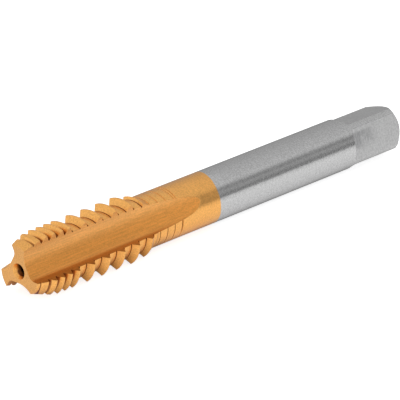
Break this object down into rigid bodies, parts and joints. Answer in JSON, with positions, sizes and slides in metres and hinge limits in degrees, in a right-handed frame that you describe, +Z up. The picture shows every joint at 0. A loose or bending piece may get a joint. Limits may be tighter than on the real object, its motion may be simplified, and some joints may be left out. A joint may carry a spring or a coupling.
{
  "type": "thread tap",
  "caption": "Straight-flute machine tap for cutting internal threads, with interrupted teeth, a coated cutting end, a plain shank and a drive square.",
  "frame": {"origin": "centre of the flat end face of the drive square, on the tap's axis", "axes": "+X along the tap's axis from the cutting end towards the drive square; +Z up, with one land on top, as the tap lies on a table"},
  "size_m": [0.0775, 0.01, 0.0091],
  "materials": {
    "tap": "ground high-speed steel, with a gold titanium nitride coating over the cutting end up to about 37 mm from the tip"
  },
  "bodies": {
    "root": {"tap": "tap"}
  },
  "joints": []
}
